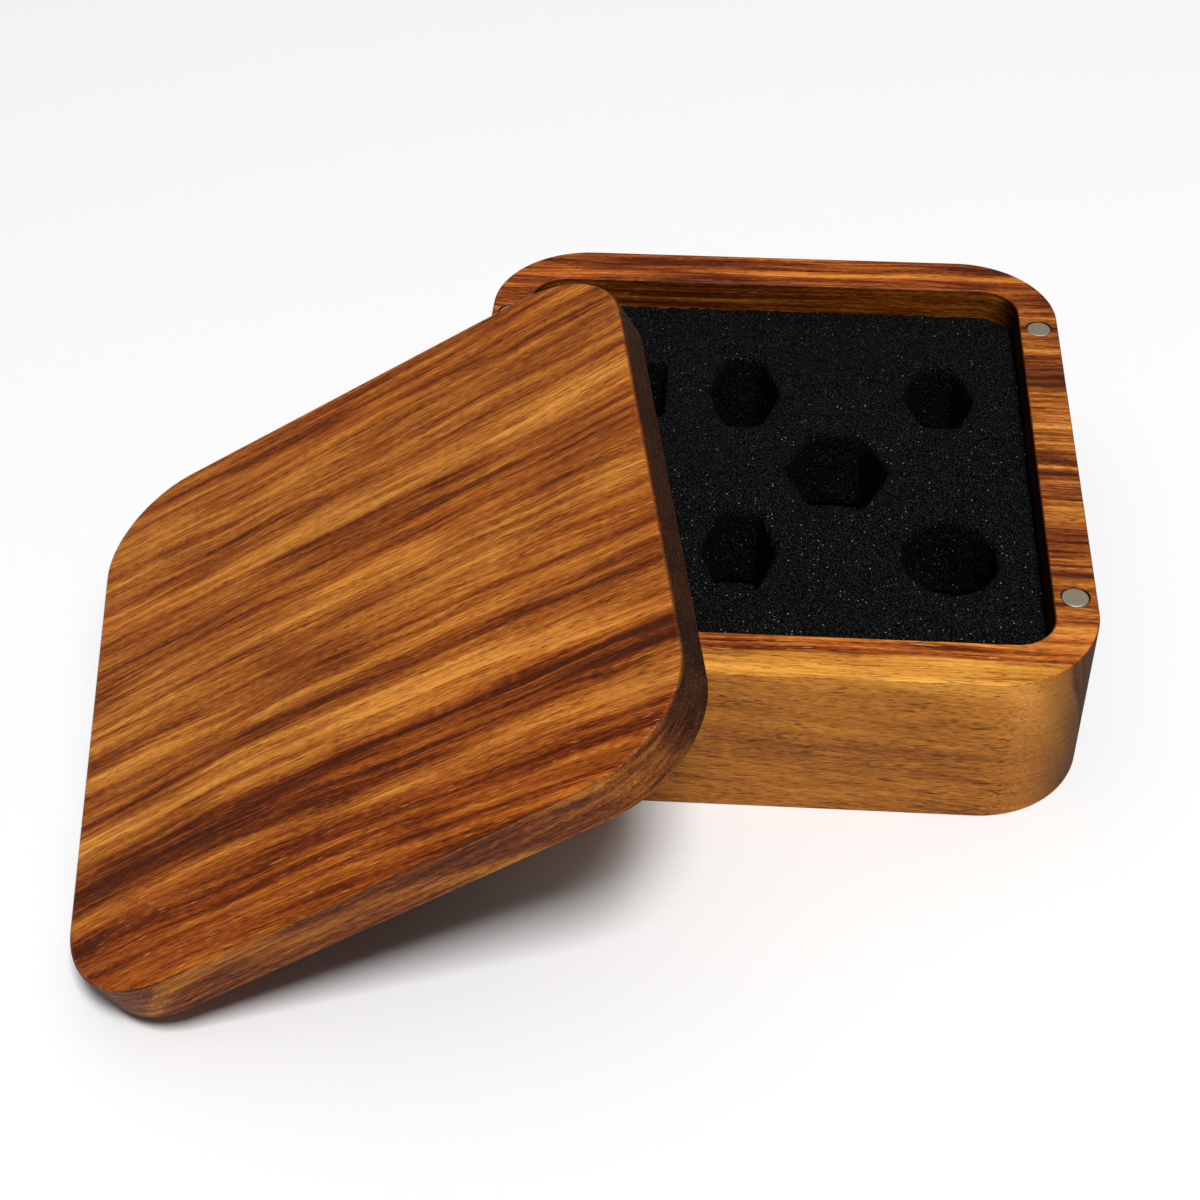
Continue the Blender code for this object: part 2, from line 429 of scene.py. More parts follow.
@dataclass(frozen=True)
class Rings:
    """How a block's growth rings lie. Their heart is behind the block and above it.

    Attributes:
        top_mm: The height of the block's top face.
        bow_mm: How far the stripes at the front bow, at bow_length_mm from where they are straight.
        ripple_mm: How far they ripple.
        heart_across_mm: The place of the heart across the grain, from the block's middle.
        heart_up_mm: Its height above the block's underside.
        straight_along_mm: Where along the grain the stripes have no bow.
        bow_length_mm: The length over which they bow by bow_mm.
        straight_across_mm: Where across the grain the bow has died away.
        bow_fade_mm: How far in front of that it is full.
    """

    top_mm: float
    bow_mm: float
    ripple_mm: float
    heart_across_mm: float = 260.0
    heart_up_mm: float = 120.0
    straight_along_mm: float = -20.0
    bow_length_mm: float = 80.0
    straight_across_mm: float = 25.0
    bow_fade_mm: float = 75.0

    def follow(self, own: GrainPoint) -> GrainPoint:
        """Find where a point's ring meets the top face.

        Args:
            own: The point in the block's own frame.

        Returns:
            The point, with that place as its place across the grain.
        """
        fade = (self.straight_across_mm - own.across) / self.bow_fade_mm
        bow = ((own.along - self.straight_along_mm) / self.bow_length_mm) ** 2.0 * fade * self.bow_mm
        bent = own.across + bow + own.swing(WANDER) + own.swing(RIPPLE) * self.ripple_mm
        behind = (self.heart_across_mm - bent) ** 2.0
        above = (own.up - self.heart_up_mm) ** 2.0 - (self.top_mm - self.heart_up_mm) ** 2.0
        return replace(own, across=self.heart_across_mm - (behind + above) ** 0.5)


# Each stripe's middle across the grain, in millimetres from the block's middle, and how light it is.
BASE_STRIPES = {
    -80: 0.10, -66: 0.20, -63.5: 0.66, -58: 0.62, -57.2: 0.06, -56.3: 0.98, -55.5: 0.20,
    -54: 0.85, -50: 0.66, -44: 0.42, -30: 0.42, -26: 0.10, -22: 0.22, -18: 0.66,
    -13: 0.45, -9: 0.25, -6: 0.42, -1: 0.12, 3: 0.45, 8: 0.88, 12: 0.62,
    14: 0.25, 18: 0.50, 22: 0.10, 27: 0.05, 31: 0.34, 45: 0.34, 54.5: 0.20,
    57: 0.40, 59: 0.38, 60.8: 0.02, 64: 0.28,
}
LID_STRIPES = {
    -69: 0.20, -67.6: 0.06, -66.5: 0.76, -65.6: 0.10, -61: 0.36, -58.5: 0.20, -56: 0.36,
    -53: 0.18, -48.5: 0.25, -45.5: 0.78, -43: 0.30, -41: 0.08, -34.5: 0.05, -32: 0.45,
    -28: 0.88, -24: 0.66, -21.5: 0.22, -18: 0.28, -14: 0.74, -9.5: 0.32, -3: 0.64,
    5: 0.68, 11: 0.38, 21.5: 0.34, 24.6: 0.42, 26: 0.86, 31: 0.62, 35: 0.38,
    41: 0.56, 49: 0.50, 56: 0.42, 66: 0.48,
}


@dataclass(frozen=True)
class StripedWood:
    """Oiled, strongly striped hardwood, solid through the block.

    The grain runs along the block's own X, and each point takes the stripe of the place where its
    growth ring meets the top face.

    Attributes:
        name: The material's name.
        place: The block's own frame.
        rings: How its growth rings lie.
        stripes: The place and the tone of each stripe of its top face, from the front to the back.
        sap_edge_mm: Where the sapwood at the front ends, across the grain.
        streaks: How strong the streaks are.
        slope: How steeply the layers in the front wall climb along the grain.
        front_layers: How strong the layers in the front wall are.
        back_layers: How strong they are in the other walls.
        back_red: How red the back rim is, as a share of the front one.
        reach_mm: How far the stripes are looked up to either side of the block's middle.
    """

    name: str
    place: Matrix
    rings: Rings
    stripes: dict[float, float]
    sap_edge_mm: float
    streaks: float
    slope: float
    front_layers: float
    back_layers: float
    back_red: float
    reach_mm: float = 80.0

    # How squarely a face looks along the grain to be end grain and to lose its streaks, and how squarely
    # it looks up or down to be no wall.
    # End grain starts early, so its darkening, partly painted shade, reaches gradually round the rounded
    # corners.
    end_facing: Span = Span(0.20, 1.05)
    cross_facing: Span = Span(0.12, 0.60)
    top_facing: Span = Span(0.25, 0.75)

    # The rings behind the front, those behind the pale dashes, and the red ones towards either rim.
    front_rings: Span = Span(-50.0, -30.0)
    dash_rings: Span = Span(-50.0, -38.0)
    rim_rings: Span = Span(42.0, 54.0)

    # How much is left of the streaks on end grain and on walls, of the stripes where side is 0, and
    # of the patches.
    stripes_at_least: float = 0.30
    streaks_on_ends: float = 0.30
    streaks_on_walls: float = 0.25
    patches_on_top: float = 0.62
    patches_on_walls: float = 0.27

    # The tone of plain wood, the stripe that leaves it as it is, and what stripes and walls change it by.
    plain_tone: float = 0.44
    plain_stripe: float = 0.40
    stripe_contrast: float = 0.60
    wall_darkening: float = 0.04

    # How red the rims are, and the sapwood's edge: how far it drifts along the grain and blurs.
    rim_red: float = 0.75
    sap_drift: float = 0.012
    sap_blur_mm: float = 0.5

    # How much of a pore's colour shows, and the oiled skin with its relief.
    pore_share: float = 0.62
    roughness: float = 0.46
    fibre_roughness: float = 0.12
    end_roughness: float = 0.34
    pore_roughness: float = 0.12
    fibre_relief: float = 0.35
    bump_strength: float = 0.22
    bump_depth: float = 0.12 * MM

    def make(self) -> bpy.types.Material:
        """Build the material.

        Returns:
            The material, whose pattern lies in the block's own frame.
        """
        shader = Shader(self.name)
        point = self.rings.follow(self.own_point(shader))
        surface = self.surface(shader)
        pores = point.marks(SHORT_PORES) + point.marks(LONG_PORES) * surface.wall
        fibres = point.swing(FIBRES)
        colour = self.colour(point, surface, self.tone(point, surface))
        colour = shader.mix(pores * surface.side * self.pore_share, colour, PORE_BROWN)
        # Darken end grain: partly its own darker colour, partly painted shade of end faces turned from
        # the light, which also reaches round the rounded corners.
        colour = shader.mix(surface.end, colour, END_GRAIN_AND_SHADE_TINT, "MULTIPLY")
        colour = shader.mix(self.flecks(point, surface), colour, FLECK)
        rough = self.roughness + self.fibre_roughness * fibres
        rough = rough + self.end_roughness * surface.end + self.pore_roughness * pores
        height = fibres * self.fibre_relief - pores
        return shader.finish(
            Base_Color=colour,
            Roughness=rough,
            Normal=shader.bump(height, self.bump_strength, self.bump_depth),
            Specular_IOR_Level=0.10,
            Coat_Weight=0.02,
            Coat_Roughness=0.25,
        )

    def own_point(self, shader: Shader) -> GrainPoint:
        """Find the point in the block's own frame.

        Args:
            shader: The material being wired.

        Returns:
            The point, in millimetres.
        """
        frame_of_block = {
            "Vector": shader.node("ShaderNodeTexCoord", output="Object"),
            "Location": self.place.translation,
            "Rotation": self.place.to_euler(),
            "Scale": (MM, MM, MM),
        }
        own = shader.node("ShaderNodeMapping", {"vector_type": "TEXTURE"}, frame_of_block)
        axes = [shader.node("ShaderNodeSeparateXYZ", inputs={0: own}, output=axis) for axis in range(3)]
        return GrainPoint(shader, *axes)

    def surface(self, shader: Shader) -> Surface:
        """Measure how the surface lies in the block.

        Args:
            shader: The material being wired.

        Returns:
            The three masks.
        """
        along_grain = self.facing(shader, Vector((1.0, 0.0, 0.0)))
        upwards = self.facing(shader, Vector((0.0, 0.0, 1.0)))
        return Surface(
            end=shader.step(along_grain, self.end_facing),
            side=between(1.0, self.streaks_on_ends, shader.step(along_grain, self.cross_facing)),
            wall=1.0 - shader.step(upwards, self.top_facing),
        )

    def facing(self, shader: Shader, axis: Vector) -> Wire:
        """Measure how squarely a face looks along one of the block's axes.

        Args:
            shader: The material being wired.
            axis: The axis in the block's own frame.

        Returns:
            A number from 0 for a face beside the axis to 1 for one across it.
        """
        normal = shader.node("ShaderNodeTexCoord", output="Normal")
        inputs = {0: normal, 1: self.place.to_3x3() @ axis}
        return abs(shader.node("ShaderNodeVectorMath", {"operation": "DOT_PRODUCT"}, inputs, "Value"))

    def tone(self, point: GrainPoint, surface: Surface) -> Wire:
        """Work out how light the wood is.

        Args:
            point: The point, on its ring.
            surface: How the surface lies.

        Returns:
            The tone, from about 0 to 1.
        """
        shader = point.shader
        span = 2 * self.reach_mm
        stops = [((place + self.reach_mm) / span, (tone,) * 3) for place, tone in self.stripes.items()]
        stripe = shader.ramp(stops, (point.across + self.reach_mm) / span)
        bands = (stripe - self.plain_stripe) * self.stripe_contrast
        bands = bands * between(self.stripes_at_least, 1.0, surface.side)
        streaks = (point.swing(STREAKS) + point.swing(LINES)) * self.streaks
        streaks = streaks * surface.side * between(1.0, self.streaks_on_walls, surface.wall)
        near_front = 1.0 - shader.step(point.across, self.front_rings)
        sloped = replace(point, up=point.up + point.along * near_front * self.slope)
        layers = sloped.swing(LAYERS) * between(self.back_layers, self.front_layers, near_front)
        layers = (layers - self.wall_darkening) * surface.wall
        patches = between(self.patches_on_top, self.patches_on_walls, surface.wall) * point.swing(PATCHES)
        return self.plain_tone + bands + streaks + layers + patches + point.swing(FINE_GRAIN)

    def colour(self, point: GrainPoint, surface: Surface, tone: Wire) -> Wire:
        """Turn the tone into the wood's colour.

        Args:
            point: The point, on its ring.
            surface: How the surface lies.
            tone: How light the wood is.

        Returns:
            The colour of heartwood, or of sapwood past the sap edge.
        """
        shader = point.shader
        ring = point.across
        rims = shader.step(-ring, self.rim_rings) + shader.step(ring, self.rim_rings) * self.back_red
        red = (point.marks(RED_PATCHES) + rims * self.rim_red) * (1.0 - surface.wall)
        heartwood = shader.mix(red, shader.ramp(HEARTWOOD, tone), RED_TINT, "MULTIPLY")
        heartwood = shader.mix(surface.wall, heartwood, WALL_TINT, "MULTIPLY")
        strayed = ring + point.swing(SAP_EDGE) - point.along * self.sap_drift
        edge = Span(self.sap_edge_mm - self.sap_blur_mm, self.sap_edge_mm + self.sap_blur_mm)
        return shader.mix(1.0 - shader.step(strayed, edge), heartwood, shader.ramp(SAPWOOD, tone))

    def flecks(self, point: GrainPoint, surface: Surface) -> Wire:
        """Mark the pale flecks: dashes in the front stripes of the top face and specks on end grain.

        Args:
            point: The point, on its ring.
            surface: How the surface lies.

        Returns:
            How much of the pale colour shows.
        """
        in_front = 1.0 - point.shader.step(point.across, self.dash_rings)
        dashes = point.marks(DASHES) * in_front * (1.0 - surface.wall)
        return dashes + point.marks(SPECKS) * surface.end


@dataclass(frozen=True)
class OpenCellFoam:
    """Black foam: a matt surface of fine cells. A few cells get a painted glint, a pale spot that stands
    in for a highlight, with more of them at the front.
    """

    name: str
    cell_mm: float = 0.24
    painted_glint_mm: float = 0.8
    # The painted glints: their size, which cells get one, how many more get one towards the front, and
    # how much of the pale colour shows.
    painted_glint_spot: Span = Span(0.08, 0.20)
    painted_glint_chance: Span = Span(0.86, 1.0)
    painted_glint_front_places: Span = Span(-55.0 * MM, 50.0 * MM)
    painted_glint_front_chance: float = 0.16
    painted_glint_share: float = 0.8
    cell_relief: float = 0.7
    cloud_relief: float = 0.6
    bump_strength: float = 0.8
    bump_depth: float = 0.3 * MM

    def make(self) -> bpy.types.Material:
        """Build the material.

        Returns:
            The material, the same on every foam piece.
        """
        shader = Shader(self.name)
        place = shader.node("ShaderNodeTexCoord", output="Object")
        cell_scale = 1 / (self.cell_mm * MM)
        cells = shader.cells(place, cell_scale, "Distance")
        cloud = shader.noise(place, cell_scale)
        colour = shader.ramp(FOAM_BLACK, cloud)
        # Painted glints: pale spots in the colour that stand in for highlights on the cells.
        colour = shader.mix(self.painted_glints(shader, place) * self.painted_glint_share, colour, PAINTED_GLINT)
        height = cells * self.cell_relief + cloud * self.cloud_relief
        return shader.finish(
            Base_Color=colour,
            Roughness=0.95,
            Specular_IOR_Level=0.03,
            Normal=shader.bump(height, self.bump_strength, self.bump_depth),
        )

    def painted_glints(self, shader: Shader, place: Wire) -> Wire:
        """Mark the cells that get a painted glint: a pale colour that stands in for a highlight.

        Args:
            shader: The material being wired.
            place: The point of the surface.

        Returns:
            How far the point belongs to a painted glint.
        """
        painted_glint_scale = 1 / (self.painted_glint_mm * MM)
        from_middle = shader.cells(place, painted_glint_scale, "Distance")
        chance = shader.cells(place, painted_glint_scale, "Color")
        lot = shader.node("ShaderNodeSeparateColor", inputs={0: chance})
        depth = shader.node("ShaderNodeSeparateXYZ", inputs={0: place}, output="Y")
        near = 1.0 - shader.step(depth, self.painted_glint_front_places)
        lucky = shader.step(lot + near * self.painted_glint_front_chance, self.painted_glint_chance)
        return (1.0 - shader.step(from_middle, self.painted_glint_spot)) * lucky


@dataclass(frozen=True)
class NickelPlate:
    """Nickel plate, bright but finely scuffed by tumbling, with a slight bloom in its tint."""

    name: str
    scuffs_per_metre: float = 2600.0
    blooms_per_metre: float = 420.0
    roughness: float = 0.50
    scuff_roughness: float = 0.16
    bump_strength: float = 0.12
    bump_depth: float = 0.03 * MM

    def make(self) -> bpy.types.Material:
        """Build the material.

        Returns:
            The material for every magnet.
        """
        shader = Shader(self.name)
        place = shader.node("ShaderNodeTexCoord", output="Object")
        scuffs = shader.noise(place, self.scuffs_per_metre, detail=4.0)
        bloom = shader.noise(place, self.blooms_per_metre)
        return shader.finish(
            Base_Color=shader.ramp(NICKEL_TINT, bloom),
            Metallic=1.0,
            Roughness=self.roughness + self.scuff_roughness * scuffs,
            Normal=shader.bump(scuffs, self.bump_strength, self.bump_depth),
        )


class Modeller:
    """The modelling steps that the pieces share, each done as by hand with Blender's operators."""

    @staticmethod
    def pick(piece: bpy.types.Object) -> None:
        """Select one object and nothing else.

        Args:
            piece: The object.
        """
        bpy.ops.object.select_all(action="DESELECT")
        piece.select_set(True)
        bpy.context.view_layer.objects.active = piece

    @classmethod
    @contextmanager
    def selected(cls, piece: bpy.types.Object, element: Element, test: Test) -> Iterator[None]:
        """Enter edit mode with the elements selected that pass a test, and leave it afterwards.

        Args:
            piece: The mesh to edit.
            element: Whether edges or faces are selected.
            test: Says of a bmesh edge or face whether it is wanted.

        Yields:
            Nothing, with the elements selected.
        """
        cls.pick(piece)
        bpy.ops.object.mode_set(mode="EDIT")
        bpy.ops.mesh.select_all(action="DESELECT")
        bpy.ops.mesh.select_mode(type=element.name)
        mesh = bmesh.from_edit_mesh(piece.data)
        for item in getattr(mesh, element.value):
            item.select_set(test(item))
        bmesh.update_edit_mesh(piece.data)
        yield
        bpy.ops.object.mode_set(mode="OBJECT")

    @staticmethod
    def rim(level: float) -> Test:
        """Make the test for the edges that run round a piece at a height."""
        return lambda edge: all(abs(vertex.co.z - level) < TOUCH for vertex in edge.verts)

    @classmethod
    def bevel(cls, piece: bpy.types.Object, test: Test, width: float, segments: int) -> None:
        """Round the edges that pass a test."""
        with cls.selected(piece, Element.EDGE, test):
            bpy.ops.mesh.bevel(offset=width, segments=segments, profile=0.5, affect="EDGES")

    @classmethod
    def block(
        cls, name: str, size: Vector, bottom: float, radius: float, segments: int
    ) -> bpy.types.Object:
        """Add a box and round its upright edges.

        Args:
            name: The object's name.
            size: Its width, depth and height.
            bottom: The height of its underside.
            radius: The radius of its upright corners.
            segments: The facets of each corner.

        Returns:
            The block, centred on the Z axis.
        """
        bpy.ops.mesh.primitive_cube_add(size=1.0, location=(0.0, 0.0, bottom + size.z / 2))
        piece = bpy.context.object
        piece.name = name
        piece.scale = size
        bpy.ops.object.transform_apply(location=True, rotation=True, scale=True)
        cls.bevel(piece, lambda e: abs(e.verts[0].co.z - e.verts[1].co.z) > size.z / 2, radius, segments)
        return piece

    @classmethod
    def flare(cls, cutter: bpy.types.Object, level: float, width: float, rise: float) -> None:
        """Widen a cutter's end, so that it eases the rim that it cuts, and run it clear of the block.

        Args:
            cutter: The cutter.
            level: The height of the end face, which stands width short of the block's face.
            width: The width of the eased edge.
            rise: Which way the end points along Z, as 1 or -1.
        """
        wide = cutter.dimensions.copy()
        grow = ((wide.x + 4 * width) / wide.x, (wide.y + 4 * width) / wide.y, 1.0)
        out = (0.0, 0.0, rise * 2 * width)
        with cls.selected(cutter, Element.FACE, lambda f: abs(f.calc_center_median().z - level) < TOUCH):
            bpy.ops.mesh.extrude_region_move(TRANSFORM_OT_translate={"value": out})
            bpy.ops.transform.resize(value=grow)

    @classmethod
    def cut(cls, piece: bpy.types.Object, cutter: bpy.types.Object) -> None:
        """Take the cutter out of the piece, and throw the cutter away.

        Args:
            piece: The piece that is cut.
            cutter: The shape of the hole.
        """
        cls.pick(piece)
        boolean = piece.modifiers.new("cut", "BOOLEAN")
        boolean.object = cutter
        bpy.ops.object.modifier_apply(modifier=boolean.name)
        bpy.data.objects.remove(cutter)

    @classmethod
    def place(cls, piece: bpy.types.Object, place: Matrix) -> None:
        """Move a piece to its place, and apply the move to its mesh.

        Args:
            piece: The piece, modelled at the origin.
            place: Where it goes.
        """
        cls.pick(piece)
        piece.matrix_world = place
        bpy.ops.object.transform_apply(location=True, rotation=True, scale=True)

    @classmethod
    def smooth(cls, piece: bpy.types.Object, degrees: float = 32.0) -> None:
        """Shade the rounds smooth and keep the flats flat.

        Args:
            piece: The piece.
            degrees: The least angle that stays a sharp edge.
        """
        cls.pick(piece)
        bpy.ops.object.shade_smooth_by_angle(angle=math.radians(degrees))
        weighted = piece.modifiers.new("flat_faces", "WEIGHTED_NORMAL")
        weighted.keep_sharp = True
        bpy.ops.object.modifier_apply(modifier=weighted.name)

    @staticmethod
    def dress(
        piece: bpy.types.Object, finish: bpy.types.Material, body: Body, node: str, slot: Slot
    ) -> None:
        """Give a piece its finish, attach it to the body that it rides on, and hide the CAD node that it
        stands for.

        Args:
            piece: The piece.
            finish: Its material.
            body: The body that it rides on.
            node: The CAD node that it stands for.
            slot: The record's slot for its material; not used.
        """
        piece.data.materials.clear()
        piece.data.materials.append(finish)
        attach(piece, body.value)
        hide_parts(node)


def middle(node: str) -> Vector:
    """Find the middle of a CAD node's box."""
    low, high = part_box(node)
    return (low + high) / 2


def magnet_nodes(body: Body) -> list[str]:
    """Name the CAD nodes of a body's magnets: left front, left back, right front, right back."""
    return [f"{body.value}_magnet_{index}" for index in range(1, 5)]


@dataclass(frozen=True)
class CaseSizes:
    """Sizes that the base and the lid share. A segment is one facet of a round."""

    width: float
    depth: float
    height: float
    cavity_width: float
    cavity_depth: float
    corner_radius: float = 20.0 * MM
    cavity_radius: float = 7.6 * MM
    easing: float = 0.4 * MM
    gap: float = 0.3 * MM
    magnet_diameter: float = 5.0 * MM
    magnet_length: float = 5.0 * MM
    magnet_set_back: float = 0.15 * MM
    hole_easing: float = 0.08 * MM
    corner_segments: int = 28
    cavity_segments: int = 20
    easing_segments: int = 3
    fillet_segments: int = 4
    magnet_sides: int = 72

    @classmethod
    def from_frame(cls) -> "CaseSizes":
        """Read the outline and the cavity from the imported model.

        Returns:
            The sizes.
        """
        low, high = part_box("base_body")
        foam_low, foam_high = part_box("foam_insert")
        outer = high - low
        foam = foam_high - foam_low
        return cls(outer.x, outer.y, outer.z, foam.x + 2 * cls.gap, foam.y + 2 * cls.gap)

    @property
    def hole_depth(self) -> float:
        """How deep a magnet's hole is."""
        return self.magnet_set_back + self.magnet_length + self.gap


@dataclass
class Magnets:
    """The four magnets of one block, copies of one disc with rounded rims."""

    sizes: CaseSizes
    body: Body
    place: Matrix
    edge: float = 0.32 * MM
    edge_segments: int = 4

    def build(self, nickel: bpy.types.Material) -> list[bpy.types.Object]:
        """Model one magnet, copy it to each hole and dress the copies.

        Args:
            nickel: Their finish.

        Returns:
            The magnets.
        """
        first = self.disc()
        turn = self.place.to_3x3().to_4x4()
        magnets = []
        for node in magnet_nodes(self.body):
            magnet = first.copy()
            magnet.data = first.data.copy()
            magnet.name = f"nickel_{node}"
            bpy.context.collection.objects.link(magnet)
            Modeller.place(magnet, Matrix.Translation(middle(node)) @ turn)
            Modeller.dress(magnet, nickel, self.body, node, Slot.NICKEL)
            magnets.append(magnet)
        bpy.data.objects.remove(first)
        return magnets

    def disc(self) -> bpy.types.Object:
        """Model a magnet at the origin.

        Returns:
            The magnet, with both rims rounded.
        """
        length = self.sizes.magnet_length
        radius = self.sizes.magnet_diameter / 2
        bpy.ops.mesh.primitive_cylinder_add(vertices=self.sizes.magnet_sides, radius=radius, depth=length)
        disc = bpy.context.object
        for level in (-length / 2, length / 2):
            Modeller.bevel(disc, Modeller.rim(level), self.edge, self.edge_segments)
        Modeller.smooth(disc)
        return disc


@dataclass
class FoamPiece:
    """A foam piece, grown from its CAD solid: its cut edges go soft and its skin goes to open cells.

    Its skin_level is the height in the texture of cells that stays where the skin was.
    """

    node: str
    name: str
    body: Body
    voxel: float
    fill: float = 1.0
    softening: float = 0.5
    softening_rounds: int = 10
    cell_scale: float = 1.4 * MM
    cell_depth: float = 0.55 * MM
    skin_level: float = 0.62

    def build(self, foam: bpy.types.Material) -> bpy.types.Object:
        """Model and dress the piece.

        Args:
            foam: Its finish.

        Returns:
            The piece.
        """
        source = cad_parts[self.node]
        piece = bpy.data.objects.new(self.name, source.data.copy())
        bpy.context.collection.objects.link(piece)
        with Modeller.selected(piece, Element.EDGE, lambda edge: True):
            bpy.ops.mesh.remove_doubles(threshold=SAME_PLACE)
            bpy.ops.mesh.normals_make_consistent(inside=False)
        self.soften(piece)
        self.roughen(piece)
        Modeller.pick(piece)
        bpy.ops.object.shade_smooth()
        Modeller.dress(piece, foam, self.body, self.node, Slot.FOAM)
        return piece

    def soften(self, piece: bpy.types.Object) -> None:
        """Mesh the piece evenly, and take the sharpness from its cut edges.

        Args:
            piece: The foam piece.
        """
        remesh = piece.modifiers.new("even_cells", "REMESH")
        remesh.mode = "VOXEL"
        remesh.voxel_size = self.voxel
        bpy.ops.object.modifier_apply(modifier=remesh.name)
        soften = piece.modifiers.new("soft_edges", "SMOOTH")
        soften.factor = self.softening
        soften.iterations = self.softening_rounds
        bpy.ops.object.modifier_apply(modifier=soften.name)

    def roughen(self, piece: bpy.types.Object) -> None:
        """Push the skin in and out by the foam's cells.

        Args:
            piece: The foam piece.
        """
        cells = bpy.data.textures.new(f"{self.name}_cells", "CLOUDS")
        cells.noise_scale = self.cell_scale
        cells.noise_depth = 1
        rough = piece.modifiers.new("cells", "DISPLACE")
        rough.texture = cells
        rough.texture_coords = "LOCAL"
        rough.strength = self.cell_depth
        rough.mid_level = self.skin_level
        bpy.ops.object.modifier_apply(modifier=rough.name)


@dataclass
class WoodBlock:
    """A wood block with a hollow and four magnet holes in one face.

    Its place is its own frame, from the middle of its underside.
    """

    sizes: CaseSizes
    body: Body
    place: Matrix
    thickness: float
    top_round: float
    top_segments: int
    hollow_depth: float
    floor_fillet: float
    opening: Opening

    def build(self, wood: bpy.types.Material) -> bpy.types.Object:
        """Model and dress the block.

        Args:
            wood: Its finish.

        Returns:
            The piece.
        """
        sizes = self.sizes
        size = Vector((sizes.width, sizes.depth, self.thickness))
        name = f"{self.body.value}_wood"
        piece = Modeller.block(name, size, 0.0, sizes.corner_radius, sizes.corner_segments)
        Modeller.bevel(piece, Modeller.rim(self.thickness), self.top_round, self.top_segments)
        Modeller.bevel(piece, Modeller.rim(0.0), sizes.easing, sizes.easing_segments)
        Modeller.cut(piece, self.hollow())
        for node in magnet_nodes(self.body):
            Modeller.cut(piece, self.hole(self.place.inverted() @ middle(node)))
        Modeller.place(piece, self.place)
        Modeller.smooth(piece)
        Modeller.dress(piece, wood, self.body, f"{self.body.value}_body", Slot.WOOD)
        return piece

    def face(self) -> float:
        """Give the height of the face that the hollow and the holes open in."""
        return self.thickness if self.opening is Opening.UP else 0.0

    def hollow(self) -> bpy.types.Object:
        """Model the cutter for the hollow.

        Returns:
            The cutter, with a filleted floor and an eased rim.
        """
        sizes = self.sizes
        rise = self.opening.value
        ease = sizes.easing / 2
        floor = self.face() - rise * self.hollow_depth
        end = self.face() - rise * ease
        size = Vector((sizes.cavity_width, sizes.cavity_depth, abs(end - floor)))
        low = min(floor, end)
        cutter = Modeller.block("hollow", size, low, sizes.cavity_radius, sizes.cavity_segments)
        Modeller.bevel(cutter, Modeller.rim(floor), self.floor_fillet, sizes.fillet_segments)
        Modeller.flare(cutter, end, ease, rise)
        return cutter

    def hole(self, place: Vector) -> bpy.types.Object:
        """Model the cutter for one magnet hole.

        Args:
            place: The magnet's middle in the block's own frame.

        Returns:
            The cutter, with an eased rim.
        """
        sizes = self.sizes
        rise = self.opening.value
        depth = sizes.hole_depth - sizes.hole_easing
        centre = self.face() - rise * (sizes.hole_easing + depth / 2)
        bpy.ops.mesh.primitive_cylinder_add(
            vertices=sizes.magnet_sides,
            radius=(sizes.magnet_diameter + sizes.gap) / 2,
            depth=depth,
            location=(place.x, place.y, centre),
        )
        cutter = bpy.context.object
        bpy.ops.object.transform_apply(location=True, rotation=True, scale=True)
        Modeller.flare(cutter, centre + rise * depth / 2, sizes.hole_easing, rise)
        return cutter


@dataclass(frozen=True)
class Light:
    """A square light that faces the middle of the floor. Its power is in watts."""

    name: str
    place: tuple[float, float, float]
    size: float
    power: float

    def hang(self) -> None:
        """Hang the light."""
        data = bpy.data.lights.new(self.name, "AREA")
        data.shape = "SQUARE"
        data.size = self.size
        data.energy = self.power
        lamp = bpy.data.objects.new(self.name, data)
        bpy.context.collection.objects.link(lamp)
        lamp.location = self.place
        lamp.rotation_euler = (-Vector(self.place)).to_track_quat("-Z", "Y").to_euler()


@dataclass(frozen=True)
class Studio:
    """The floor, the lights and the camera.

    The lens and the film's width are in millimetres, as cameras have them, and look is in degrees.
    """

    floor_size: float = 40.0
    floor_white: float = 0.90
    room_light: float = 0.085
    lights: tuple[Light, ...] = (
        Light("window", (0.326, -1.032, 2.364), 0.66, 63.0),
        Light("ceiling", (-0.073, 0.595, 1.483), 2.8, 10.5),
    )
    lens: float = 64.80
    film: float = 36.0
    eye: tuple[float, float, float] = (-7.07 * MM, -333.18 * MM, 294.32 * MM)
    look: tuple[float, float, float] = (47.697, 0.571, 4.056)
    near_clip: float = 10.0 * MM

    def build(self) -> None:
        """Set the stage and the camera."""
        self.floor()
        self.world()
        for light in self.lights:
            light.hang()
        self.camera()
        view = bpy.context.scene.view_settings
        view.view_transform = "Standard"
        view.look = "None"

    def floor(self) -> None:
        """Lay a plain white floor."""
        bpy.ops.mesh.primitive_plane_add(size=self.floor_size)
        floor = bpy.context.object
        floor.name = "floor"
        white = (self.floor_white, self.floor_white, self.floor_white, 1.0)
        paper = Shader("white_paper").finish(Base_Color=white, Roughness=0.7, Specular_IOR_Level=0.2)
        floor.data.materials.append(paper)

    def world(self) -> None:
        """Fill the room with even, dim light."""
        world = bpy.data.worlds.new("room")
        world.use_nodes = True
        sky = world.node_tree.nodes["Background"]
        sky.inputs["Color"].default_value = (1.0, 1.0, 1.0, 1.0)
        sky.inputs["Strength"].default_value = self.room_light
        bpy.context.scene.world = world

    def camera(self) -> None:
        """Stand the camera where the photograph was taken from."""
        data = bpy.data.cameras.new("camera")
        data.lens = self.lens
        data.sensor_width = self.film
        data.clip_start = self.near_clip
        camera = bpy.data.objects.new("camera", data)
        bpy.context.collection.objects.link(camera)
        camera.location = self.eye
        camera.rotation_euler = Euler([math.radians(angle) for angle in self.look])
        bpy.context.scene.camera = camera


